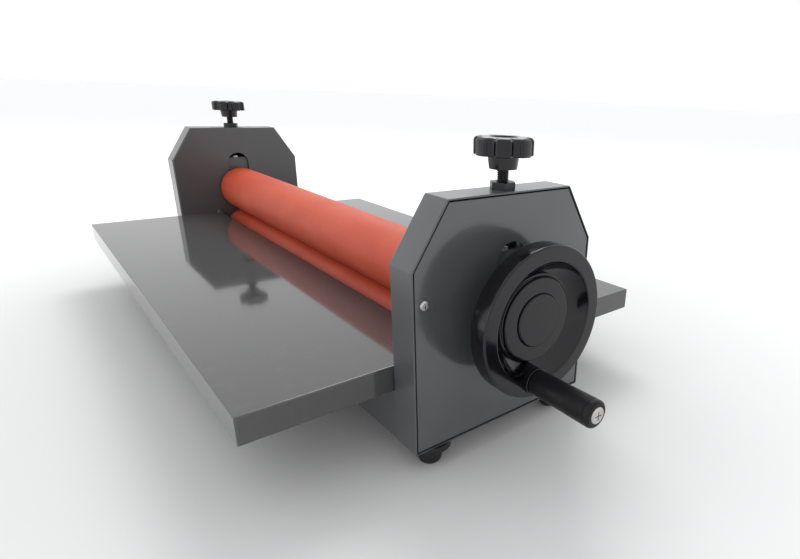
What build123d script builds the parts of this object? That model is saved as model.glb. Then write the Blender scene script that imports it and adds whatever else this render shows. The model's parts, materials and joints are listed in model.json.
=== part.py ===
from build123d import *
import os
from math import cos, radians, sin

os.makedirs("parts", exist_ok=True)

# Hand-cranked cold roll laminator, in millimetres.
# +X runs along the rollers towards the crank, -Y is the infeed side and +Z is up.
# The origin is the centre of the four feet, on the bench.

# Driving dimensions: rollers and the film path between them
INNER_SPAN = 660.0
ROLLER_FACE = 650.0
ROLLER_RADIUS = 34.0
RUBBER_WALL = 8.0
TUBE_WALL = 4.0
NIP_GAP = 0.4

# Side casings
FOOT_HEIGHT = 22.0
CASE_WIDTH = 193.0
CASE_HEIGHT = 205.0
CASE_DEPTH = 31.0
CASE_CHAMFER_Y = 32.0
CASE_CHAMFER_Z = 50.0
CASE_SHEET = 2.5
CASE_LIP = 1.2
CASE_LIP_DEPTH = 5.4
UPPER_AXIS_ABOVE_CASE = 106.5
SLOT_RADIUS = 16.0
SLOT_TOP_CENTRE_ABOVE_CASE = 148.5
COVER_SHEET = 2.0
COVER_GAP = 1.4
COVER_SINK = 0.4
COVER_SCREW_Y = 86.8
COVER_SCREW_ABOVE_CASE = 128.7

# Work tables and cross panels
TABLE_SHEET = 1.5
TABLE_DEPTH = 22.4
TABLE_TOP_ABOVE_CASE = 68.7
TABLE_NEAR_Y = 37.0
TABLE_FAR_Y = 215.0
TABLE_END_GAP = 1.0
HINGE_Y = 39.5
HINGE_ABOVE_CASE = 68.3
HINGE_PIN_RADIUS = 2.5
PANEL_SHEET = 2.0
PANEL_SETBACK = 1.0
PANEL_FLANGE = 20.5

# Bearings, screws and their fits
JOURNAL_RADIUS = 10.0
SHOULDER_RADIUS = 13.0
RUNNING_GAP = 0.05
SCREW_RADIUS = 5.0
THREAD_GAP = 0.05
BLOCK_HALF_WIDTH = 24.9
BLOCK_THICKNESS = 21.5
BLOCK_CLEARANCE = 2.0
UPPER_BLOCK_ABOVE_CASE = (81.0, 156.4)
LOWER_BLOCK_ABOVE_CASE = (2.5, 62.0)
SPRING_POCKET = 5.0
SPRING_Y = 12.0

# Pressure knobs
BUSH_HEX_AF = 19.0
BUSH_HEX_HEIGHT = 6.0
THRUST_WASHER_HEIGHT = 3.0
KNOB_RADIUS = 24.0
KNOB_LOBES = 7
KNOB_HEIGHT = 14.2
KNOB_HUB_HEIGHT = 10.4
KNOB_GAP = 10.0
KNOB_PHASE = 10.0
KNOB_NOTCH_RADIUS = 4.2
KNOB_NOTCH_DEPTH = 4.0
KNOB_LOBE_ROUNDING = 2.4

# Handwheel and its grip
WHEEL_RADIUS = 64.0
WHEEL_FRONT = 43.0
RIM_DEPTH = 19.0
HUB_STEP = 3.0
CAP_RADIUS = 22.6
CAP_PROUD = 1.8
CRANK_SEAT_RADIUS = 8.0
GRIP_Y = -11.5
GRIP_BELOW_AXIS = 46.5
GRIP_BOSS_RADIUS = 11.2
GRIP_BOSS_PROUD = 4.4
GRIP_LENGTH = 62.8
GRIP_RADIUS = 11.2
GRIP_BOLT_HEAD_RADIUS = 6.9

# Derived places
WALL_X = INNER_SPAN / 2
CASE_OUTER_X = WALL_X + CASE_DEPTH
CASE_MID_X = WALL_X + CASE_DEPTH / 2
BASE_Z = FOOT_HEIGHT
TOP_Z = BASE_Z + CASE_HEIGHT
UPPER_Z = BASE_Z + UPPER_AXIS_ABOVE_CASE
LOWER_Z = UPPER_Z - 2 * ROLLER_RADIUS - NIP_GAP
SLOT_TOP_Z = BASE_Z + SLOT_TOP_CENTRE_ABOVE_CASE
COVER_X = (CASE_OUTER_X - COVER_SINK - COVER_SHEET, CASE_OUTER_X - COVER_SINK)
COVER_SCREW_Z = BASE_Z + COVER_SCREW_ABOVE_CASE
TABLE_TOP_Z = BASE_Z + TABLE_TOP_ABOVE_CASE
TABLE_BOTTOM_Z = TABLE_TOP_Z - TABLE_DEPTH
HINGE_Z = BASE_Z + HINGE_ABOVE_CASE
BLOCK_X = (WALL_X + CASE_SHEET + BLOCK_CLEARANCE, WALL_X + CASE_SHEET + BLOCK_CLEARANCE + BLOCK_THICKNESS)
RING_X = (BLOCK_X[1] + 0.2, BLOCK_X[1] + 1.4)
JOURNAL_END_X = COVER_X[0] - 0.6
SHOULDER_X = BLOCK_X[0] - 1.7
FOOT_Y = 73.0
TOP_BLOCK_Z = (TOP_Z - CASE_SHEET - 12.0, TOP_Z - CASE_SHEET)
TOP_BLOCK_SCREW_Y = 2.0
TOP_BLOCK_SCREW_Z = TOP_BLOCK_Z[0] + 4.0
WHEEL_FRONT_X = CASE_OUTER_X + WHEEL_FRONT
WHEEL_BACK_X = CASE_OUTER_X + 5.0
HUB_RING_X = WHEEL_FRONT_X - 9.4
CAP_RECESS_X = WHEEL_FRONT_X - 13.0
HUB_FLOOR_X = WHEEL_FRONT_X - 20.0
CRANK_SEAT_X = (CASE_OUTER_X + 1.0, HUB_FLOOR_X - 0.5)
GRIP_Z = UPPER_Z - GRIP_BELOW_AXIS
GRIP_START_X = WHEEL_FRONT_X + GRIP_BOSS_PROUD + 0.2
PANEL_SCREW_Y = CASE_WIDTH / 2 - 12.5
PANEL_SCREW_ZS = (BASE_Z + 12.0, BASE_Z + 34.0)
TABLE_HALF_LENGTH = WALL_X - TABLE_END_GAP
EAR_X = (TABLE_HALF_LENGTH - 2.5, TABLE_HALF_LENGTH)


def block(x, y, z):
    """Box between the low and high ends given along X, Y and Z."""
    spans = (x, y, z)
    centre = [(low + high) / 2 for low, high in spans]
    return Pos(*centre) * Box(*[high - low for low, high in spans])


def rod_x(radius, x, y, z):
    """Cylinder along X, over the span x, centred on (y, z)."""
    return Pos((x[0] + x[1]) / 2, y, z) * Rot(0, 90, 0) * Cylinder(radius, x[1] - x[0])


def rod_z(radius, x, y, z):
    """Cylinder along Z, over the span z, centred on (x, y)."""
    return Pos(x, y, (z[0] + z[1]) / 2) * Cylinder(radius, z[1] - z[0])


def hexagon_x(across_flats, x, y, z):
    """Hexagonal prism along X, with flats that face +Y and -Y."""
    sketch = RegularPolygon(across_flats / 2, 6, major_radius=False, rotation=30)
    return Pos(x[0], y, z) * extrude(Plane.YZ * sketch, x[1] - x[0])


def hexagon_z(across_flats, x, y, z):
    """Hexagonal prism along Z, with flats that face +X and -X."""
    sketch = RegularPolygon(across_flats / 2, 6, major_radius=False, rotation=30)
    prism = Pos(x, y, z[0]) * extrude(sketch, z[1] - z[0])
    crown = Pos(x, y, (z[0] + z[1]) / 2) * Cylinder(across_flats * 0.565, z[1] - z[0])
    crown = chamfer(crown.edges().filter_by(GeomType.CIRCLE), 0.6)
    return prism & crown


def turned_x(points, y, z):
    """Solid of revolution about an X axis at (y, z) from (x, radius) points."""
    face = make_face(Polyline(*[(px, pr) for px, pr in points], close=True))
    return Pos(0, y, z) * revolve(face, Axis.X)


def both_y(part):
    """The part together with its mirror image on the other side of the rollers."""
    return [part, mirror(part, Plane.XZ)]


def fused(parts):
    """One shape that holds every solid in the list."""
    whole = parts[0]
    for part in parts[1:]:
        whole = whole + part
    return whole


def cross_recess(x, y, z, reach, depth):
    """Cross-shaped driver recess sunk into a screw head that faces +X."""
    blade = 0.9
    arms = block((x - depth, x + 1), (y - reach, y + reach), (z - blade / 2, z + blade / 2))
    arms += block((x - depth, x + 1), (y - blade / 2, y + blade / 2), (z - reach, z + reach))
    return arms


# ---- Side casings and their covers

def case_outline(inset):
    half = CASE_WIDTH / 2
    shoulder = TOP_Z - CASE_CHAMFER_Z
    corner = half - CASE_CHAMFER_Y
    outline = Polygon(
        (-half, BASE_Z), (half, BASE_Z), (half, shoulder),
        (corner, TOP_Z), (-corner, TOP_Z), (-half, shoulder), align=None)
    if inset:
        outline = offset(outline, -inset, kind=Kind.INTERSECTION)
    return outline


def case_prism(inset, x):
    """The casing's outline, drawn in by inset and extruded over the span x."""
    return extrude(Plane.YZ.offset(x[0]) * case_outline(inset), x[1] - x[0])


def shaft_slot(x):
    """Upright slot that lets the upper roller's shaft rise."""
    slot = rod_x(SLOT_RADIUS, x, 0, UPPER_Z) + rod_x(SLOT_RADIUS, x, 0, SLOT_TOP_Z)
    return slot + block(x, (-SLOT_RADIUS, SLOT_RADIUS), (UPPER_Z, SLOT_TOP_Z))


def right_side_casing():
    """Folded tray: an inner wall and a rim turned outwards, thinned to a lip round the cover."""
    shell = case_prism(0, (WALL_X, CASE_OUTER_X))
    shell = fillet(shell.edges().filter_by(Axis.X), 1.6)
    shell = fillet(shell.faces().sort_by(Axis.X)[0].edges(), 2.0)
    shell = fillet(shell.faces().sort_by(Axis.X)[-1].edges(), 0.6)
    casing = shell - case_prism(CASE_SHEET, (WALL_X + CASE_SHEET, CASE_OUTER_X + 1))
    casing -= case_prism(CASE_LIP, (CASE_OUTER_X - CASE_LIP_DEPTH, CASE_OUTER_X + 1))
    lip_y = CASE_WIDTH / 2 - CASE_LIP
    tab_x = (COVER_X[0] - 2.0, COVER_X[0])
    for tab in both_y(block(tab_x, (lip_y - 15, lip_y), (COVER_SCREW_Z - 8, COVER_SCREW_Z + 8))):
        casing += tab
    through = (WALL_X - 1, WALL_X + CASE_SHEET + 1)
    holes = [shaft_slot(through), rod_x(15.0, through, 0, LOWER_Z)]
    holes += both_y(rod_x(2.05, tab_x, COVER_SCREW_Y, COVER_SCREW_Z))
    holes += both_y(rod_x(2.05, through, HINGE_Y, HINGE_Z))
    for screw_z in PANEL_SCREW_ZS:
        holes += both_y(rod_x(2.55, through, PANEL_SCREW_Y, screw_z))
    holes += both_y(rod_z(3.05, CASE_MID_X, FOOT_Y, (BASE_Z - 1, BASE_Z + CASE_SHEET + 1)))
    holes.append(rod_z(7.05, CASE_MID_X, 0, (TOP_Z - CASE_SHEET - 1, TOP_Z + 1)))
    holes.append(top_block_screw_seat())
    for hole in holes:
        casing -= hole
    return casing


def right_cover():
    """Flat plate set into the rim, slotted for the crank shaft."""
    return closed_cover() - shaft_slot((COVER_X[0] - 1, COVER_X[1] + 1))


def closed_cover():
    """Flat plate set into the rim, held by a screw at each side."""
    plate = case_prism(CASE_LIP + COVER_GAP, COVER_X)
    plate = fillet(plate.edges().filter_by(Axis.X), 1.0)
    plate = fillet(plate.faces().sort_by(Axis.X)[-1].edges(), 0.4)
    for hole in both_y(rod_x(2.3, (COVER_X[0] - 1, COVER_X[1] + 1), COVER_SCREW_Y, COVER_SCREW_Z)):
        plate -= hole
    return plate


def cover_screw():
    """M4 pan-head screw with a cross recess."""
    head = rod_x(3.9, (COVER_X[1], COVER_X[1] + 2.6), COVER_SCREW_Y, COVER_SCREW_Z)
    head = fillet(head.faces().sort_by(Axis.X)[-1].edges(), 1.6)
    shank = rod_x(2.0, (COVER_X[0] - 3, COVER_X[1]), COVER_SCREW_Y, COVER_SCREW_Z)
    return head + shank - cross_recess(COVER_X[1] + 2.6, COVER_SCREW_Y, COVER_SCREW_Z, 2.0, 1.5)


def top_block_screw_seat():
    """Countersunk form, open at the wall's face, that the screw lies in."""
    face = WALL_X
    outline = [
        (face - 1, 0), (face - 1, 4.6), (face + 0.1, 4.6),
        (face + 2.3, 2.4), (face + 7.5, 2.4), (face + 7.5, 0)]
    return turned_x(outline, TOP_BLOCK_SCREW_Y, TOP_BLOCK_SCREW_Z)


def top_block_screw():
    """Slotted countersunk screw that ties the top block to the casing's inner wall."""
    y = (TOP_BLOCK_SCREW_Y - 6, TOP_BLOCK_SCREW_Y + 6)
    slot = block((WALL_X - 2, WALL_X + 1.1), y, (TOP_BLOCK_SCREW_Z - 0.6, TOP_BLOCK_SCREW_Z + 0.6))
    return top_block_screw_seat() - block((WALL_X - 2, WALL_X + 0.1), y, TOP_BLOCK_Z) - slot


# ---- Pressure bush, screw, blocks and guides

def right_top_block():
    """Steel block under the casing's top that the pressure bush screws into."""
    body = block((WALL_X + CASE_SHEET, COVER_X[0] - 1.6), (-17, 17), TOP_BLOCK_Z)
    body = chamfer(body.edges().filter_by(Axis.X).group_by(Axis.Z)[0], 1.5)
    bore = rod_z(7.05, CASE_MID_X, 0, (TOP_BLOCK_Z[0] - 1, TOP_BLOCK_Z[1] + 1))
    return body - bore - top_block_screw_seat()


def right_pressure_bush():
    """Hexagon-headed bush with the M10 thread for the pressure screw."""
    head = hexagon_z(BUSH_HEX_AF, CASE_MID_X, 0, (TOP_Z, TOP_Z + BUSH_HEX_HEIGHT))
    sleeve = rod_z(7.0, CASE_MID_X, 0, (TOP_BLOCK_Z[0], TOP_Z))
    return head + sleeve - rod_z(SCREW_RADIUS + THREAD_GAP, CASE_MID_X, 0, (TOP_BLOCK_Z[0] - 1, TOP_Z + 20))


def right_thrust_washer():
    """Thick washer on top of the upper block, round the pressure screw."""
    low = BASE_Z + UPPER_BLOCK_ABOVE_CASE[1]
    washer = rod_z(7.5, CASE_MID_X, 0, (low, low + THRUST_WASHER_HEIGHT))
    washer = fillet(washer.faces().sort_by(Axis.Z)[-1].edges(), 1.2)
    return washer - rod_z(SCREW_RADIUS + 0.3, CASE_MID_X, 0, (low - 1, low + THRUST_WASHER_HEIGHT + 1))


def knob_base_z():
    return TOP_Z + BUSH_HEX_HEIGHT + KNOB_GAP


def right_pressure_screw():
    """M10 screw: its tip bears in the upper block, its hexagon is moulded into the knob."""
    tip_z = BASE_Z + UPPER_BLOCK_ABOVE_CASE[1] - 8.0
    hub_z = knob_base_z()
    shank = rod_z(SCREW_RADIUS, CASE_MID_X, 0, (tip_z, hub_z + 14))
    shank = chamfer(shank.edges().filter_by(GeomType.CIRCLE), 0.9)
    return shank + hexagon_z(15.0, CASE_MID_X, 0, (hub_z + 4, hub_z + 10))


def knob_outline():
    """Round outline with a row of notches that leaves the lobes between them."""
    outline = Circle(KNOB_RADIUS)
    reach = KNOB_RADIUS - KNOB_NOTCH_DEPTH + KNOB_NOTCH_RADIUS
    for index in range(KNOB_LOBES):
        angle = radians(KNOB_PHASE + (index + 0.5) * 360 / KNOB_LOBES)
        outline -= Pos(reach * cos(angle), reach * sin(angle)) * Circle(KNOB_NOTCH_RADIUS)
    return fillet(outline.vertices(), KNOB_LOBE_ROUNDING)


def right_pressure_knob():
    """Lobed star knob, dished on top and hollow below round its tapered hub."""
    hub_z = knob_base_z()
    lobe_z = hub_z + KNOB_HUB_HEIGHT
    place = Pos(CASE_MID_X, 0, lobe_z)
    lobes = place * extrude(knob_outline(), KNOB_HEIGHT)
    lobes = fillet(lobes.faces().sort_by(Axis.Z)[-1].edges(), 3.8)
    lobes = fillet(lobes.faces().sort_by(Axis.Z)[0].edges(), 1.0)
    lobes -= Pos(CASE_MID_X, 0, lobe_z + KNOB_HEIGHT + 11.0) * Sphere(16.0)
    lobes -= place * extrude(Circle(18.0) - Circle(13.2), 8.0)
    hub = Pos(CASE_MID_X, 0, hub_z + KNOB_HUB_HEIGHT / 2) * Cone(11.4, 12.8, KNOB_HUB_HEIGHT)
    core = rod_z(12.8, CASE_MID_X, 0, (lobe_z, lobe_z + 8))
    return lobes + hub + core - right_pressure_screw()


def bearing_block(z, bore_z):
    """Steel block bored for a bush and grooved at both sides for the guide rails."""
    body = block(BLOCK_X, (-BLOCK_HALF_WIDTH, BLOCK_HALF_WIDTH), z)
    body = chamfer(body.edges().filter_by(Axis.X), 1.2)
    for groove in both_y(block((341.9, 347.1), (21.3, 30), (z[0] - 1, z[1] + 1))):
        body -= groove
    return body - rod_x(13.0, (BLOCK_X[0] - 1, BLOCK_X[1] + 1), 0, bore_z)


def spring_pockets(z):
    return both_y(rod_z(6.5, CASE_MID_X, SPRING_Y, z))


def right_upper_bearing_block():
    low, high = [BASE_Z + level for level in UPPER_BLOCK_ABOVE_CASE]
    body = bearing_block((low, high), UPPER_Z)
    for pocket in spring_pockets((low - 1, low + SPRING_POCKET)):
        body -= pocket
    return body - rod_z(SCREW_RADIUS + 0.3, CASE_MID_X, 0, (high - 8.0, high + 1))


def right_lower_bearing_block():
    low, high = [BASE_Z + level for level in LOWER_BLOCK_ABOVE_CASE]
    body = bearing_block((low, high), LOWER_Z)
    for pocket in spring_pockets((high - SPRING_POCKET, high + 1)):
        body -= pocket
    return body


def bearing_bush(axis_z):
    """Flanged bronze bush."""
    bore = JOURNAL_RADIUS + RUNNING_GAP
    return turned_x(
        [(BLOCK_X[0] - 1.5, bore), (BLOCK_X[0] - 1.5, 15.5), (BLOCK_X[0], 15.5),
         (BLOCK_X[0], 13.0), (BLOCK_X[1], 13.0), (BLOCK_X[1], bore)], 0, axis_z)


def right_guide_rails():
    """Two upright rails, each with a tongue that runs in the block's groove."""
    z = (BASE_Z + CASE_SHEET, TOP_BLOCK_Z[0])
    rail = block((WALL_X + CASE_SHEET, 350.0), (25.1, 33.0), z) + block((342.0, 347.0), (21.5, 25.1), z)
    return fused(both_y(rail))


def right_lift_springs():
    """Compression springs between the lower and the upper bearing block."""
    low = BASE_Z + LOWER_BLOCK_ABOVE_CASE[1] - SPRING_POCKET
    high = BASE_Z + UPPER_BLOCK_ABOVE_CASE[0] + SPRING_POCKET
    wire, coil, turns = 0.8, 5.0, 6
    rise = high - low - 2 * wire - 0.2
    path = Helix(pitch=rise / turns, height=rise, radius=coil)
    section = Plane(origin=path @ 0, z_dir=path % 0) * Circle(wire)
    coil_solid = Pos(CASE_MID_X, SPRING_Y, low + wire + 0.1) * sweep(section, path=path, is_frenet=True)
    return fused(both_y(coil_solid))


# ---- Feet

def foot(x, y):
    """Bell-shaped rubber foot with a recess in its top for the stud's plate."""
    z0 = BASE_Z
    with BuildLine() as side:
        base = Line((0, z0 - 22), (5, z0 - 22))
        toe = CenterArc((5, z0 - 17), 5, -90, 90)
        waist = Line(toe @ 1, (10, z0 - 13))
        bell = CenterArc((18, z0 - 13), 8, 180, -90)
        edge = Line(bell @ 1, (18, z0))
        top = Line(edge @ 1, (0, z0))
        Line(top @ 1, base @ 0)
    body = revolve(Plane.XZ * make_face(side.line), Axis.Z)
    body = fillet(body.edges().filter_by(GeomType.CIRCLE).group_by(Axis.Z)[-1], 1.2)
    return Pos(x, y, 0) * body - rod_z(7.0, x, y, (z0 - 2.5, z0 + 1))


def foot_stud(x, y):
    """Plate and M6 stud moulded into a foot."""
    return rod_z(7.0, x, y, (BASE_Z - 2.5, BASE_Z)) + rod_z(3.0, x, y, (BASE_Z, BASE_Z + 10.5))


def foot_nut(x, y):
    z = (BASE_Z + CASE_SHEET, BASE_Z + CASE_SHEET + 5)
    return hexagon_z(10.0, x, y, z) - rod_z(3.05, x, y, (z[0] - 1, z[1] + 1))


# ---- Cross panels

def front_cross_panel():
    """Folded channel that ties the casings together and carries the table."""
    half = WALL_X
    face_y = -(CASE_WIDTH / 2 - PANEL_SETBACK)
    y = (face_y, face_y + PANEL_FLANGE)
    z = (BASE_Z, TABLE_BOTTOM_Z)
    panel = block((-half, half), y, z)
    panel = fillet(panel.faces().sort_by(Axis.Y)[0].edges().filter_by(Axis.X), 1.2)
    inner_x = half - PANEL_SHEET
    hollow_y = (y[0] + PANEL_SHEET, y[1] + 1)
    panel -= block((-inner_x, inner_x), hollow_y, (z[0] + PANEL_SHEET, z[1] - PANEL_SHEET))
    for screw_z in PANEL_SCREW_ZS:
        panel -= rod_x(2.55, (-half - 1, half + 1), -PANEL_SCREW_Y, screw_z)
    return panel


def right_panel_screws():
    """M5 screws, put in from inside the casing."""
    wall = WALL_X + CASE_SHEET
    screws = []
    for screw_z in PANEL_SCREW_ZS:
        head = rod_x(4.6, (wall, wall + 3), PANEL_SCREW_Y, screw_z)
        head = fillet(head.faces().sort_by(Axis.X)[-1].edges(), 1.4)
        shank = rod_x(2.5, (WALL_X - 8, wall), PANEL_SCREW_Y, screw_z)
        screws += both_y(head + shank)
    return screws


def right_panel_nuts():
    x = (WALL_X - PANEL_SHEET - 4, WALL_X - PANEL_SHEET)
    nuts = []
    for screw_z in PANEL_SCREW_ZS:
        hole = rod_x(2.55, (x[0] - 1, x[1] + 1), PANEL_SCREW_Y, screw_z)
        nuts += both_y(hexagon_x(8.0, x, PANEL_SCREW_Y, screw_z) - hole)
    return nuts


# ---- Folding tables

def front_table():
    """Folded tray with a round ear at each end of its roller edge for the hinge pin."""
    half = TABLE_HALF_LENGTH
    y = (-TABLE_FAR_Y, -TABLE_NEAR_Y)
    tray = block((-half, half), y, (TABLE_BOTTOM_Z, TABLE_TOP_Z))
    tray = fillet(tray.edges().filter_by(Axis.Z), 1.5)
    tray = fillet(tray.faces().sort_by(Axis.Z)[-1].edges(), 1.2)
    sheet = TABLE_SHEET
    tray -= block(
        (-half + sheet, half - sheet), (y[0] + sheet, y[1] - sheet),
        (TABLE_BOTTOM_Z - 1, TABLE_TOP_Z - sheet))
    ear = rod_x(5.5, EAR_X, -HINGE_Y, HINGE_Z)
    ear += block(EAR_X, (-HINGE_Y - 5.5, -TABLE_NEAR_Y - 1.5), (HINGE_Z - 12, HINGE_Z))
    tray += ear + mirror(ear, Plane.YZ)
    hole = rod_x(HINGE_PIN_RADIUS + RUNNING_GAP, (EAR_X[0] - 1, EAR_X[1] + 1), -HINGE_Y, HINGE_Z)
    hole += rod_x(5.6, (EAR_X[0] - 3.2, EAR_X[0]), -HINGE_Y, HINGE_Z)
    return tray - hole - mirror(hole, Plane.YZ)


def right_table_pins():
    """Shoulder screws that the tables hinge on."""
    shoulder = (EAR_X[0] - 0.3, WALL_X)
    head = rod_x(4.6, (shoulder[0] - 2.2, shoulder[0]), HINGE_Y, HINGE_Z)
    head = fillet(head.faces().sort_by(Axis.X)[0].edges(), 1.2)
    pin = head + rod_x(HINGE_PIN_RADIUS, shoulder, HINGE_Y, HINGE_Z)
    return both_y(pin + rod_x(2.0, (WALL_X, WALL_X + CASE_SHEET + 4.5), HINGE_Y, HINGE_Z))


def right_table_pin_nuts():
    x = (WALL_X + CASE_SHEET, WALL_X + CASE_SHEET + 3.2)
    return both_y(hexagon_x(7.0, x, HINGE_Y, HINGE_Z) - rod_x(2.05, (x[0] - 1, x[1] + 1), HINGE_Y, HINGE_Z))


# ---- Rollers

def roller_rubber(axis_z):
    """Silicone sleeve bonded to the roller's tube."""
    half = ROLLER_FACE / 2
    sleeve = rod_x(ROLLER_RADIUS, (-half, half), 0, axis_z)
    sleeve = fillet(sleeve.edges().filter_by(GeomType.CIRCLE), 1.0)
    return sleeve - rod_x(ROLLER_RADIUS - RUBBER_WALL, (-half - 1, half + 1), 0, axis_z)


def roller_tube(axis_z):
    """Steel tube under the rubber."""
    half = ROLLER_FACE / 2
    outer = ROLLER_RADIUS - RUBBER_WALL
    return rod_x(outer, (-half, half), 0, axis_z) - rod_x(outer - TUBE_WALL, (-half - 1, half + 1), 0, axis_z)


def journal(axis_z):
    """Right-hand stub shaft: a plug in the tube, a shoulder and a journal."""
    half = ROLLER_FACE / 2
    plug = ROLLER_RADIUS - RUBBER_WALL - TUBE_WALL
    groove = JOURNAL_RADIUS - 0.8
    return turned_x(
        [(half - 25, 0), (half - 25, plug), (half, plug), (half, SHOULDER_RADIUS),
         (SHOULDER_X, SHOULDER_RADIUS), (SHOULDER_X, JOURNAL_RADIUS), (RING_X[0], JOURNAL_RADIUS),
         (RING_X[0], groove), (RING_X[1], groove), (RING_X[1], JOURNAL_RADIUS),
         (JOURNAL_END_X - 0.5, JOURNAL_RADIUS), (JOURNAL_END_X, groove), (JOURNAL_END_X, 0)], 0, axis_z)


def crank_journal():
    """Upper roller's right-hand stub shaft, carried on through the cover to the handwheel."""
    seat = CRANK_SEAT_X
    shaft = journal(UPPER_Z) + rod_x(JOURNAL_RADIUS, (JOURNAL_END_X - 0.5, seat[0]), 0, UPPER_Z)
    shaft += rod_x(CRANK_SEAT_RADIUS, seat, 0, UPPER_Z)
    shaft -= rod_x(3.05, (seat[1] - 22, seat[1] + 1), 0, UPPER_Z)
    return shaft - handwheel_key()


def retaining_ring(axis_z):
    """Open spring ring in the journal's groove, outside the bearing block."""
    through = (RING_X[0] - 1, RING_X[1] + 1)
    ring = rod_x(13.5, RING_X, 0, axis_z) - rod_x(JOURNAL_RADIUS - 0.8, through, 0, axis_z)
    return ring - block(through, (-4, 4), (axis_z - 15, axis_z))


# ---- Handwheel

def handwheel_key():
    return block((WHEEL_BACK_X + 2, CRANK_SEAT_X[1]), (-2.5, 2.5), (UPPER_Z + 5, UPPER_Z + 10))


def wheel_body():
    """Turned form of the wheel: deep flat-faced rim, bowl-shaped web and slightly raised hub."""
    front, back = WHEEL_FRONT_X, WHEEL_FRONT_X - RIM_DEPTH
    floor = HUB_RING_X - HUB_STEP
    rim = WHEEL_RADIUS
    with BuildLine() as profile:
        Polyline(
            (WHEEL_BACK_X, CRANK_SEAT_RADIUS), (WHEEL_BACK_X, 17.0), (back - 1.0, 20.0), (back + 3.2, 45.0),
            (back + 1.0, 49.0), (back, 52.0), (back, rim - 4.0))
        ThreePointArc((back, rim - 4.0), (back + 1.2, rim - 1.2), (back + 4.0, rim))
        Line((back + 4.0, rim), (front - 1.6, rim))
        ThreePointArc((front - 1.6, rim), (front - 0.47, rim - 0.47), (front, rim - 1.6))
        Line((front, rim - 1.6), (front, 52.0))
        ThreePointArc((front, 52.0), (front - 0.4, 51.1), (front - 1.3, 50.6))
        ThreePointArc((front - 1.3, 50.6), (front - 7.9, 45.4), (floor, 38.4))
        Polyline((floor, 38.4), (floor, 36.8), (floor + 0.5, 36.2), (HUB_RING_X - 1.4, 36.0))
        ThreePointArc((HUB_RING_X - 1.4, 36.0), (HUB_RING_X - 0.41, 35.59), (HUB_RING_X, 34.6))
        Polyline(
            (HUB_RING_X, 34.6), (HUB_RING_X, CAP_RADIUS + 0.5), (HUB_RING_X - 0.5, CAP_RADIUS),
            (CAP_RECESS_X, CAP_RADIUS), (CAP_RECESS_X, 12.0), (HUB_FLOOR_X, 12.0),
            (HUB_FLOOR_X, CRANK_SEAT_RADIUS), (WHEEL_BACK_X, CRANK_SEAT_RADIUS))
    return Pos(0, 0, UPPER_Z) * revolve(make_face(profile.line), Axis.X)


def handwheel():
    """Moulded handwheel with a ribbed boss for the grip's bolt."""
    boss = rod_x(GRIP_BOSS_RADIUS, (WHEEL_FRONT_X - 15.5, GRIP_START_X - 0.2), GRIP_Y, GRIP_Z)
    boss = fillet(boss.faces().sort_by(Axis.X)[-1].edges(), 0.5)
    wheel = wheel_body() + boss
    rib_x = (WHEEL_FRONT_X - 13.5, WHEEL_FRONT_X - 2.0)
    for rib_z in (GRIP_Z + 2.0, GRIP_Z + 8.0):
        wheel += block(rib_x, (GRIP_Y - 18.0, GRIP_Y - 9.0), (rib_z - 0.9, rib_z + 0.9))
    wheel -= rod_x(CRANK_SEAT_RADIUS, (WHEEL_BACK_X - 1, HUB_FLOOR_X + 1), 0, UPPER_Z)
    wheel -= rod_x(3.05, (GRIP_START_X - 13, GRIP_START_X), GRIP_Y, GRIP_Z)
    return wheel - block((WHEEL_BACK_X - 1, HUB_FLOOR_X), (-2.5, 2.5), (UPPER_Z, UPPER_Z + 10.1))


def handwheel_washer():
    x = (HUB_FLOOR_X, HUB_FLOOR_X + 1.6)
    return rod_x(11.0, x, 0, UPPER_Z) - rod_x(3.2, (x[0] - 1, x[1] + 1), 0, UPPER_Z)


def handwheel_bolt():
    """M6 hexagon bolt that holds the wheel on its seat."""
    start = HUB_FLOOR_X + 1.6
    return rod_x(3.0, (start - 20, start), 0, UPPER_Z) + hexagon_x(10.0, (start, start + 4.0), 0, UPPER_Z)


def handwheel_cap():
    """Flat cap pressed into the hub, standing a little proud of it."""
    front = HUB_RING_X + CAP_PROUD
    with BuildLine() as profile:
        Polyline((front, 0), (CAP_RECESS_X, 0), (CAP_RECESS_X, CAP_RADIUS), (front - 1.4, CAP_RADIUS))
        ThreePointArc((front - 1.4, CAP_RADIUS), (front - 0.4, CAP_RADIUS - 0.5), (front, CAP_RADIUS - 1.5))
        Line((front, CAP_RADIUS - 1.5), (front, 0))
    return Pos(0, 0, UPPER_Z) * revolve(make_face(profile.line), Axis.X)


def grip_bolt():
    """Shoulder bolt that the grip turns on."""
    end = GRIP_START_X + GRIP_LENGTH
    head = rod_x(GRIP_BOLT_HEAD_RADIUS, (end - 2.0, end + 1.0), GRIP_Y, GRIP_Z)
    head = fillet(head.faces().sort_by(Axis.X)[-1].edges(), 1.4)
    bolt = head + rod_x(4.0, (GRIP_START_X - 0.2, end - 2.0), GRIP_Y, GRIP_Z)
    bolt += rod_x(3.0, (GRIP_START_X - 12, GRIP_START_X - 0.2), GRIP_Y, GRIP_Z)
    return bolt - cross_recess(end + 1.0, GRIP_Y, GRIP_Z, 3.6, 1.1)


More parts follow.
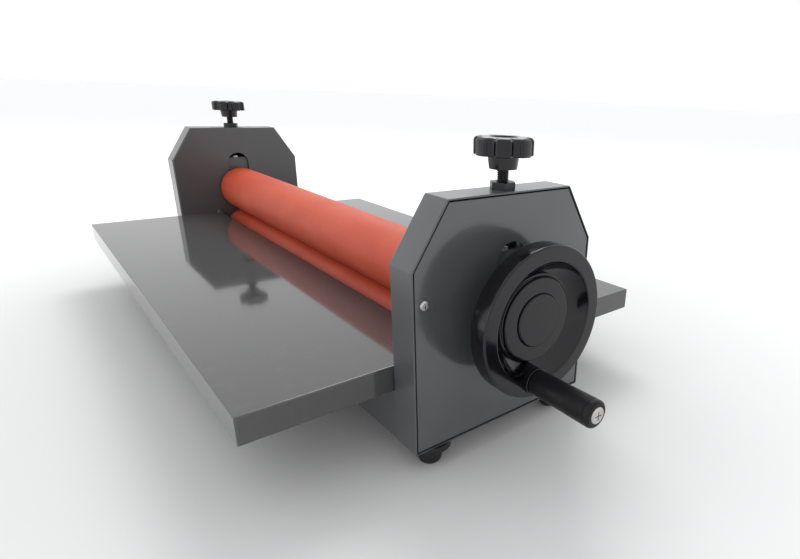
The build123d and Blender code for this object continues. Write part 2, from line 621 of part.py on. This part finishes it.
def grip():
    """Tapered revolving grip, rounded at its free end."""
    start = GRIP_START_X
    end = start + GRIP_LENGTH
    bore = 4.0 + 0.08
    recess = GRIP_BOLT_HEAD_RADIUS + 0.35
    with BuildLine() as profile:
        Polyline(
            (start, bore), (start, 9.6), (start + 0.8, 10.4), (end - 6.6, GRIP_RADIUS),
            (end - 6.2, GRIP_RADIUS - 0.4), (end - 5.8, GRIP_RADIUS), (end - 3.2, GRIP_RADIUS))
        ThreePointArc((end - 3.2, GRIP_RADIUS), (end - 0.9, GRIP_RADIUS - 0.9), (end, recess + 0.6))
        Polyline((end, recess + 0.6), (end, recess), (end - 2.2, recess), (end - 2.2, bore), (start, bore))
    return Pos(0, GRIP_Y, GRIP_Z) * revolve(make_face(profile.line), Axis.X)


# ---- Write one file for each sub-part

def with_left(parts):
    """Right-hand solids and their mirror images at the left-hand end."""
    return parts + [mirror(part, Plane.YZ) for part in parts]


def sided_nodes():
    """Sub-parts that both ends have, as {name without its side: right-hand shape}."""
    return {
        "side_casing": right_side_casing(),
        "cover_screws": fused(both_y(cover_screw())),
        "top_block": right_top_block(),
        "pressure_bush": right_pressure_bush(),
        "pressure_screw": right_pressure_screw(),
        "pressure_knob": right_pressure_knob(),
        "upper_bearing_block": right_upper_bearing_block(),
        "lower_bearing_block": right_lower_bearing_block(),
        "upper_bearing_bush": bearing_bush(UPPER_Z),
        "lower_bearing_bush": bearing_bush(LOWER_Z),
        "guide_rails": right_guide_rails(),
        "lift_springs": right_lift_springs(),
        "lower_roller_journal": journal(LOWER_Z),
        "rear_foot": foot(CASE_MID_X, FOOT_Y),
        "front_foot": foot(CASE_MID_X, -FOOT_Y),
    }


def single_nodes():
    """Sub-parts that exist once, or fasteners that share one node."""
    foot_places = [(CASE_MID_X, FOOT_Y), (CASE_MID_X, -FOOT_Y)]
    panel = front_cross_panel()
    table = front_table()
    return {
        "right_side_cover": right_cover(),
        "left_side_cover": mirror(closed_cover(), Plane.YZ),
        "top_block_screws": fused(with_left([top_block_screw()])),
        "foot_studs": fused(with_left([foot_stud(x, y) for x, y in foot_places])),
        "foot_nuts": fused(with_left([foot_nut(x, y) for x, y in foot_places])),
        "thrust_washers": fused(with_left([right_thrust_washer()])),
        "front_cross_panel": panel,
        "rear_cross_panel": mirror(panel, Plane.XZ),
        "cross_panel_screws": fused(with_left(right_panel_screws())),
        "cross_panel_nuts": fused(with_left(right_panel_nuts())),
        "front_table": table,
        "rear_table": mirror(table, Plane.XZ),
        "table_pins": fused(with_left(right_table_pins())),
        "table_pin_nuts": fused(with_left(right_table_pin_nuts())),
        "upper_roller_rubber": roller_rubber(UPPER_Z),
        "upper_roller_tube": roller_tube(UPPER_Z),
        "left_upper_roller_journal": mirror(journal(UPPER_Z), Plane.YZ),
        "right_upper_roller_journal": crank_journal(),
        "upper_roller_rings": fused(with_left([retaining_ring(UPPER_Z)])),
        "lower_roller_rubber": roller_rubber(LOWER_Z),
        "lower_roller_tube": roller_tube(LOWER_Z),
        "lower_roller_rings": fused(with_left([retaining_ring(LOWER_Z)])),
        "handwheel": handwheel(),
        "handwheel_key": handwheel_key(),
        "handwheel_washer": handwheel_washer(),
        "handwheel_bolt": handwheel_bolt(),
        "handwheel_cap": handwheel_cap(),
        "grip": grip(),
        "grip_bolt": grip_bolt(),
    }


def write_parts():
    nodes = single_nodes()
    for name, shape in sided_nodes().items():
        nodes["right_" + name] = shape
        nodes["left_" + name] = mirror(shape, Plane.YZ)
    for name, shape in nodes.items():
        export_step(shape, f"parts/{name}.step")


write_parts()
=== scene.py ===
import json
from math import cos, pi, radians, sin

import bmesh
import bpy
from mathutils import Matrix, Quaternion, Vector


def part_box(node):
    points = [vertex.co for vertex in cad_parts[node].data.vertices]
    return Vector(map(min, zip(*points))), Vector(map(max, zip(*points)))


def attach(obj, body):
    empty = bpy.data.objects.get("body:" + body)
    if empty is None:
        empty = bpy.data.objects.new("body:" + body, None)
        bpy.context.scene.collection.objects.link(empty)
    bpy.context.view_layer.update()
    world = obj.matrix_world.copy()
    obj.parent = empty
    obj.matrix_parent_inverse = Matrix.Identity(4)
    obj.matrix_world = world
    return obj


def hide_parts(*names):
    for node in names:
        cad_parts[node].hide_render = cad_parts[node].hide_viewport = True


MM = 0.001

# Place in metres, lens and sensor in millimetres, shift in sensor widths
CAMERA_PLACE = (0.6754, -0.2910, 0.2990)
CAMERA_AZIMUTH = radians(136.35)
CAMERA_ELEVATION = radians(-20.37)
CAMERA_ROLL = radians(2.68)
CAMERA_LENS = 24.363
CAMERA_SENSOR = 36.0
CAMERA_SHIFT = (-0.1483, 0.0200)

# Metres from the floor's middle to its sides
FLOOR_HALF = 30.0
# Millimetres from the origin where the paper, painted darker around the machine as painted shade, starts
# and stops growing whiter
PAINTED_SHADE_NEAR, PAINTED_SHADE_FAR = 250, 1200
BACKDROP_COLOR = (0.98, 0.985, 0.995, 1)
BACKDROP_STRENGTH = 1.04
# Name, place, the point it shines at, width and height, watts
SOFTBOXES = (
    ("key_light", (-1.2, -1.2, 2.0), (0, 0, 0.1), (1.4, 1.0), 4),
    ("front_light", (-0.2, -1.8, 0.45), (0, 0, 0.1), (1.6, 0.6), 2.5),
    ("rear_light", (-1.1, 1.0, 2.1), (0.1, 0, 0.1), (1.4, 1.0), 28),
)

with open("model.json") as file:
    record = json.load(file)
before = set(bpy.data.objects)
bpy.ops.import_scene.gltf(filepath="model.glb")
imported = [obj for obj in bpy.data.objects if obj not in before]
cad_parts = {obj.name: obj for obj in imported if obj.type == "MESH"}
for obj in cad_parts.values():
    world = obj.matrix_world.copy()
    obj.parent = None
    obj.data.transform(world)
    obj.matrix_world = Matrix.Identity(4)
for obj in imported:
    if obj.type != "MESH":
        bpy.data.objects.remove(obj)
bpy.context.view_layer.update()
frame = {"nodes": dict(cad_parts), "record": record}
nodes = frame["nodes"]


# ---- Materials

# Where Blender's Mix node keeps its colour sockets
MIX_FIRST, MIX_SECOND, MIX_RESULT = 6, 7, 2


class Paint:
    """A Principled material whose patterns are laid out in the row frame's millimetres."""

    def __init__(self, name):
        self.material = bpy.data.materials.new(name)
        self.material.use_nodes = True
        self.tree = self.material.node_tree
        self.surface = self.tree.nodes["Principled BSDF"]
        place = self.node("ShaderNodeTexCoord").outputs["Object"]
        self.place = self.scaled(place, (1 / MM, 1 / MM, 1 / MM))

    def node(self, kind, **settings):
        made = self.tree.nodes.new(kind)
        for key, value in settings.items():
            setattr(made, key, value)
        return made

    def link(self, source, target):
        self.tree.links.new(source, target)

    def put(self, target, value):
        """Links an output to the socket, or sets the socket to a plain value."""
        if isinstance(value, bpy.types.NodeSocket):
            self.link(value, target)
        else:
            target.default_value = value

    def scaled(self, vector, factors):
        """The vector with each of its parts multiplied by its own factor."""
        made = self.node("ShaderNodeVectorMath", operation="MULTIPLY")
        self.link(vector, made.inputs[0])
        made.inputs[1].default_value = factors
        return made.outputs[0]

    def math(self, operation, *values):
        made = self.node("ShaderNodeMath", operation=operation)
        for socket, value in zip(made.inputs, values):
            self.put(socket, value)
        return made.outputs[0]

    def noise(self, size, stretch=(1, 1, 1), detail=3.0, rough=0.5):
        """Noise from 0 to 1 whose features are about size millimetres across, times stretch."""
        made = self.node("ShaderNodeTexNoise")
        factors = [1 / (size * s) for s in stretch]
        self.link(self.scaled(self.place, factors), made.inputs["Vector"])
        made.inputs["Scale"].default_value = 1.0
        made.inputs["Detail"].default_value = detail
        made.inputs["Roughness"].default_value = rough
        return made.outputs["Fac"]

    def cells(self, size):
        """Distance, in sizes, to the nearest of a scatter of points about size millimetres apart."""
        made = self.node("ShaderNodeTexVoronoi")
        self.link(self.scaled(self.place, [1 / size] * 3), made.inputs["Vector"])
        made.inputs["Scale"].default_value = 1.0
        return made.outputs["Distance"]

    def between(self, value, start, end, low=0.0, high=1.0):
        """The value mapped from start..end to low..high, and held there outside it."""
        made = self.node("ShaderNodeMapRange", interpolation_type="SMOOTHSTEP")
        self.link(value, made.inputs["Value"])
        for name, number in (("From Min", start), ("From Max", end), ("To Min", low), ("To Max", high)):
            made.inputs[name].default_value = number
        return made.outputs["Result"]

    def mix(self, factor, first, second):
        made = self.node("ShaderNodeMix", data_type="RGBA")
        self.put(made.inputs["Factor"], factor)
        self.put(made.inputs[MIX_FIRST], first)
        self.put(made.inputs[MIX_SECOND], second)
        return made.outputs[MIX_RESULT]

    def edges(self, radius):
        """1 along edges and corners, within about radius millimetres of them, and 0 elsewhere."""
        bevel = self.node("ShaderNodeBevel", samples=6)
        bevel.inputs["Radius"].default_value = radius * MM
        plain = self.node("ShaderNodeNewGeometry").outputs["Normal"]
        dot = self.node("ShaderNodeVectorMath", operation="DOT_PRODUCT")
        self.link(bevel.outputs["Normal"], dot.inputs[0])
        self.link(plain, dot.inputs[1])
        return self.between(dot.outputs["Value"], 0.995, 0.9)

    def bump(self, *layers):
        """Stacks (height 0 to 1, depth in millimetres) layers into the surface's normal."""
        normal = None
        for height, depth in layers:
            made = self.node("ShaderNodeBump")
            made.inputs["Strength"].default_value = 1.0
            made.inputs["Distance"].default_value = depth * MM
            self.link(height, made.inputs["Height"])
            if normal:
                self.link(normal, made.inputs["Normal"])
            normal = made.outputs["Normal"]
        self.link(normal, self.surface.inputs["Normal"])

    def finish(self, color, roughness, **sockets):
        """Fills in the surface; a further socket is named with _ for each space."""
        self.put(self.surface.inputs["Base Color"], color)
        self.put(self.surface.inputs["Roughness"], roughness)
        for name, value in sockets.items():
            self.surface.inputs[name.replace("_", " ")].default_value = value
        return self.material


def grey(level, warmth=0.0):
    """A near-neutral linear colour; warmth above 0 leans to red, below 0 to blue."""
    return (level * (1 + warmth), level, level * (1 - warmth), 1.0)


def coated_sheet(name, level, rough_span, coat, coat_roughness):
    """Dark grey powder coat: fine orange peel, paler in places along the folded edges, partly rub wear and
    partly a painted edge highlight.
    """
    p = Paint(name)
    peel = p.noise(2.4, detail=2.0)
    grain = p.noise(0.35, detail=2.0)
    cloud = p.noise(60, detail=4.0)
    # Paler patches along edges and corners: partly rub wear, partly a painted edge highlight
    wear_and_edge_highlight = p.math("MULTIPLY", p.edges(0.8), p.between(p.noise(5, detail=5.0), 0.5, 0.7))
    color = p.mix(p.between(cloud, 0.3, 0.7), grey(level, -0.045), grey(level * 1.11, -0.04))
    color = p.mix(p.math("MULTIPLY", wear_and_edge_highlight, 0.4), color, grey(0.14))
    p.bump((peel, 0.008), (grain, 0.002))
    low, high = rough_span
    rough = p.between(p.math("ADD", cloud, p.math("MULTIPLY", grain, 0.4)), 0.4, 1.0, low, high)
    return p.finish(color, rough, Coat_Weight=coat, Coat_Roughness=coat_roughness)


def table_paint():
    """Grey baked enamel: glossy, faintly wavy, with fine rub marks along the feed."""
    p = Paint("table_paint")
    wave = p.noise(45, detail=1.0)
    peel = p.noise(3.0, detail=2.0)
    rubs = p.between(p.noise(0.5, stretch=(1, 140, 140), detail=2.0), 0.66, 0.8)
    dust = p.between(p.noise(18, detail=8.0, rough=0.7), 0.5, 0.75)
    # Paler patches along edges and corners: partly rub wear, partly a painted edge highlight
    wear_and_edge_highlight = p.math("MULTIPLY", p.edges(0.7), p.between(p.noise(6, detail=5.0), 0.45, 0.7))
    color = p.mix(p.math("MULTIPLY", dust, 0.25), grey(0.060), grey(0.10))
    color = p.mix(p.math("MULTIPLY", wear_and_edge_highlight, 0.35), color, grey(0.13))
    p.bump((wave, 0.03), (peel, 0.006))
    marks = p.math("ADD", p.math("MULTIPLY", rubs, 0.12), p.math("MULTIPLY", dust, 0.07))
    return p.finish(color, p.math("ADD", marks, 0.08), Coat_Weight=0.33, Coat_Roughness=0.04)


def roller_silicone():
    """Ground silicone rubber: even orange-red with a fine turned grain and a little dust."""
    p = Paint("roller_silicone")
    turned = p.noise(0.5, stretch=(1, 40, 40), detail=3.0)
    mottle = p.noise(28, stretch=(2.5, 1, 1), detail=5.0)
    specks = p.between(p.cells(9), 0.05, 0.02)
    color = p.mix(p.between(mottle, 0.35, 0.7), (0.485, 0.069, 0.031, 1), (0.530, 0.085, 0.041, 1))
    color = p.mix(p.math("MULTIPLY", specks, 0.35), color, (0.70, 0.30, 0.22, 1))
    p.bump((turned, 0.01), (p.noise(0.6, detail=3.0), 0.008))
    return p.finish(color, p.between(turned, 0.3, 0.7, 0.46, 0.58), Specular_IOR_Level=0.35)


def gloss_black_plastic():
    """Polished phenolic moulding: deep black, softly wavy, with hairline scuffs."""
    p = Paint("gloss_black_plastic")
    wave = p.noise(7, detail=1.0)
    scuff = p.between(p.noise(0.9, stretch=(1, 9, 1), detail=6.0, rough=0.7), 0.6, 0.75)
    rubbed = p.math("MULTIPLY", p.edges(0.8), p.between(p.noise(4, detail=4.0), 0.4, 0.7))
    color = p.mix(p.math("MULTIPLY", scuff, 0.4), (0.0042, 0.0040, 0.0058, 1), grey(0.015))
    color = p.mix(p.math("MULTIPLY", rubbed, 0.5), color, grey(0.04))
    p.bump((wave, 0.02), (p.noise(0.5), 0.002))
    return p.finish(color, p.math("ADD", p.math("MULTIPLY", scuff, 0.14), 0.13), Specular_IOR_Level=0.42)


def matte_black_plastic():
    """Spark-textured moulded grip."""
    p = Paint("matte_black_plastic")
    spark = p.noise(0.45, detail=4.0, rough=0.65)
    shine = p.between(p.noise(9, detail=3.0), 0.4, 0.7)
    color = p.mix(shine, (0.0055, 0.0048, 0.0060, 1), (0.0085, 0.0078, 0.0090, 1))
    p.bump((spark, 0.04))
    return p.finish(color, p.between(shine, 0.0, 1.0, 0.46, 0.36), Specular_IOR_Level=0.22)


def metal(name, level, warmth, roughness, stretch, depth):
    """Bare or plated metal with drawn or turned marks along the directions of larger stretch."""
    p = Paint(name)
    marks = p.noise(0.25, stretch=stretch, detail=4.0)
    stain = p.between(p.noise(11, detail=6.0, rough=0.65), 0.4, 0.75)
    color = p.mix(stain, grey(level, warmth), grey(level * 0.72, warmth + 0.02))
    p.bump((marks, depth))
    low, high = roughness
    rough = p.math("ADD", p.between(marks, 0.3, 0.7, low, high), p.math("MULTIPLY", stain, 0.08))
    return p.finish(color, rough, Metallic=1.0)


def sintered_bronze():
    """Oil-filled sintered bronze with open pores."""
    p = Paint("sintered_bronze")
    pores = p.between(p.cells(0.5), 0.12, 0.3)
    color = p.mix(pores, (0.10, 0.06, 0.03, 1), (0.50, 0.31, 0.14, 1))
    p.bump((pores, 0.03))
    return p.finish(color, p.between(p.noise(3), 0.3, 0.7, 0.34, 0.5), Metallic=1.0)


def foot_rubber():
    """Moulded black rubber, dusty in its hollows."""
    p = Paint("foot_rubber")
    grain = p.noise(0.5, detail=5.0, rough=0.6)
    dust = p.between(p.noise(5, detail=6.0, rough=0.7), 0.45, 0.75)
    color = p.mix(p.math("MULTIPLY", dust, 0.6), grey(0.010), grey(0.035, 0.04))
    p.bump((grain, 0.04))
    return p.finish(color, p.between(dust, 0.0, 1.0, 0.5, 0.75), Specular_IOR_Level=0.35)


# Level, warmth, least and most roughness, stretch of the marks, and their depth in millimetres
METALS = {
    "machined_steel": (0.50, 0.0, (0.24, 0.36), (1, 12, 12), 0.004),
    "zinc_steel": (0.55, 0.02, (0.26, 0.40), (3, 3, 3), 0.003),
    "black_steel": (0.055, -0.02, (0.30, 0.42), (3, 3, 3), 0.006),
    "spring_steel": (0.28, 0.0, (0.26, 0.36), (2, 2, 2), 0.003),
}

MATERIALS = {
    "casing_paint": coated_sheet("casing_paint", 0.067, (0.28, 0.38), 0.4, 0.18),
    "cover_paint": coated_sheet("cover_paint", 0.070, (0.16, 0.24), 0.5, 0.09),
    "table_paint": table_paint(),
    "roller_silicone": roller_silicone(),
    "gloss_black_plastic": gloss_black_plastic(),
    "matte_black_plastic": matte_black_plastic(),
    **{name: metal(name, *look) for name, look in METALS.items()},
    "sintered_bronze": sintered_bronze(),
    "foot_rubber": foot_rubber(),
}

SLOT_OF = {part["node"]: part["material_slot"] for part in frame["record"]["subparts"]}


def dress(piece, slot):
    """Gives the piece the material of that slot, and returns the piece."""
    piece.data.materials.clear()
    piece.data.materials.append(MATERIALS[slot])
    return piece


# ---- Pressure screws

# Millimetres; the major and minor sizes are radii
THREAD_MAJOR = 5.0
THREAD_MINOR = 4.08
THREAD_PITCH = 1.5
THREAD_SIDES = 40
# One turn's profile: how far up the pitch, from 0 to 1, and the radius there
THREAD_ROWS = ((0.0, THREAD_MINOR), (0.16, THREAD_MINOR), (0.52, THREAD_MAJOR), (0.64, THREAD_MAJOR))
# Turns beyond the screw's length, pressed flat at its two ends
SPARE_TURNS = 3
# Corners nearer than this are one corner
SAME_POINT = 1e-4
SHARP_ANGLE = radians(32)
SCREW_IN_HUB = 11.0


def thread_point(side, row, low, high):
    """(x, y, z) of one corner of the thread, tapered off at both ends."""
    turn, step = divmod(row, len(THREAD_ROWS))
    part, radius = THREAD_ROWS[step]
    climb = (turn - 1 + part + side / THREAD_SIDES) * THREAD_PITCH
    z = min(max(low + climb, low), high)
    radius = min(radius, THREAD_MINOR + min(z - low, high - z))
    angle = 2 * pi * side / THREAD_SIDES
    return radius * cos(angle), radius * sin(angle), z


def thread_mesh(name, low, high):
    """Right-hand thread whose rows of faces follow the helix."""
    rows = len(THREAD_ROWS) * (int((high - low) / THREAD_PITCH) + SPARE_TURNS)
    work = bmesh.new()
    grid = []
    for row in range(rows):
        ring = [thread_point(side, row, low, high) for side in range(THREAD_SIDES)]
        grid.append([work.verts.new(point) for point in ring])

    def corner(side, row):
        """The grid's corner, one turn higher for each lap that side goes past the last one."""
        laps, side = divmod(side, THREAD_SIDES)
        return grid[row + laps * len(THREAD_ROWS)][side]

    for row in range(rows - len(THREAD_ROWS) - 1):
        for side in range(THREAD_SIDES):
            lower, upper = row, row + 1
            work.faces.new((
                corner(side, lower), corner(side + 1, lower), corner(side + 1, upper), corner(side, upper)))
    bmesh.ops.remove_doubles(work, verts=work.verts, dist=SAME_POINT)
    loose = [edge for edge in work.edges if len(edge.link_faces) == 1]
    bmesh.ops.holes_fill(work, edges=loose, sides=0)
    bmesh.ops.recalc_face_normals(work, faces=work.faces)
    mesh = bpy.data.meshes.new(name)
    work.to_mesh(mesh)
    work.free()
    mesh.shade_smooth()
    mesh.set_sharp_from_angle(angle=SHARP_ANGLE)
    return mesh


def threaded_screw(side):
    """M10 screw with its real thread, from the bearing block up into the knob's hub."""
    node = f"{side}_pressure_screw"
    low, high = (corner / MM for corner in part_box(node))
    knob_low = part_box(f"{side}_pressure_knob")[0].z / MM
    mesh = thread_mesh(f"{side}_threaded_screw", low.z, knob_low + SCREW_IN_HUB)
    across = Matrix.Translation(((low.x + high.x) / 2, (low.y + high.y) / 2, 0))
    mesh.transform(Matrix.Scale(MM, 4) @ across)
    piece = bpy.data.objects.new(f"{side}_threaded_screw", mesh)
    bpy.context.collection.objects.link(piece)
    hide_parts(node)
    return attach(dress(piece, "black_steel"), f"{side}_screw")


# ---- Studio

def camera():
    """Looks along the rollers from the crank end, a little above the machine."""
    flat = cos(CAMERA_ELEVATION)
    ahead = Vector((flat * cos(CAMERA_AZIMUTH), flat * sin(CAMERA_AZIMUTH), sin(CAMERA_ELEVATION)))
    lens = bpy.data.cameras.new("camera")
    lens.lens = CAMERA_LENS
    lens.sensor_width = CAMERA_SENSOR
    lens.shift_x, lens.shift_y = CAMERA_SHIFT
    lens.clip_start = 0.01
    holder = bpy.data.objects.new("camera", lens)
    holder.location = CAMERA_PLACE
    holder.rotation_mode = "QUATERNION"
    holder.rotation_quaternion = ahead.to_track_quat("-Z", "Y") @ Quaternion((0, 0, 1), CAMERA_ROLL)
    bpy.context.collection.objects.link(holder)
    bpy.context.scene.camera = holder


def floor():
    """Pale paper, painted darker near the machine as painted shade and a little whiter far from it."""
    corners = [(x * FLOOR_HALF, y * FLOOR_HALF, 0) for x, y in ((-1, -1), (1, -1), (1, 1), (-1, 1))]
    mesh = bpy.data.meshes.new("floor")
    mesh.from_pydata(corners, [], [(0, 1, 2, 3)])
    ground = bpy.data.objects.new("floor", mesh)
    bpy.context.collection.objects.link(ground)
    p = Paint("floor")
    away = p.node("ShaderNodeVectorMath", operation="LENGTH")
    p.link(p.place, away.inputs[0])
    # Painted shade: the paper is darker near the machine and fades to white far from it
    paper_with_painted_shade = p.mix(p.between(away.outputs["Value"], PAINTED_SHADE_NEAR, PAINTED_SHADE_FAR), grey(0.64), grey(0.96))
    mottled = p.mix(p.math("MULTIPLY", p.noise(300), 0.1), paper_with_painted_shade, grey(0.6))
    mesh.materials.append(p.finish(mottled, 0.6))


def softbox(name, place, target, size, watts):
    """A rectangular light at place that shines at target, unseen by the camera itself."""
    light = bpy.data.lights.new(name, "AREA")
    light.shape = "RECTANGLE"
    light.size, light.size_y = size
    light.energy = watts
    holder = bpy.data.objects.new(name, light)
    holder.location = place
    holder.rotation_mode = "QUATERNION"
    holder.rotation_quaternion = (Vector(target) - Vector(place)).to_track_quat("-Z", "Y")
    holder.visible_camera = False
    bpy.context.collection.objects.link(holder)


def studio():
    """Even white surroundings and three soft lights."""
    world = bpy.data.worlds.new("world")
    bpy.context.scene.world = world
    world.use_nodes = True
    backdrop = world.node_tree.nodes["Background"]
    backdrop.inputs["Color"].default_value = BACKDROP_COLOR
    backdrop.inputs["Strength"].default_value = BACKDROP_STRENGTH
    for settings in SOFTBOXES:
        softbox(*settings)
    bpy.context.scene.view_settings.view_transform = "Standard"


# ---- Assembly

for name, node in nodes.items():
    dress(node, SLOT_OF[name])
for side in ("right", "left"):
    threaded_screw(side)
camera()
floor()
studio()
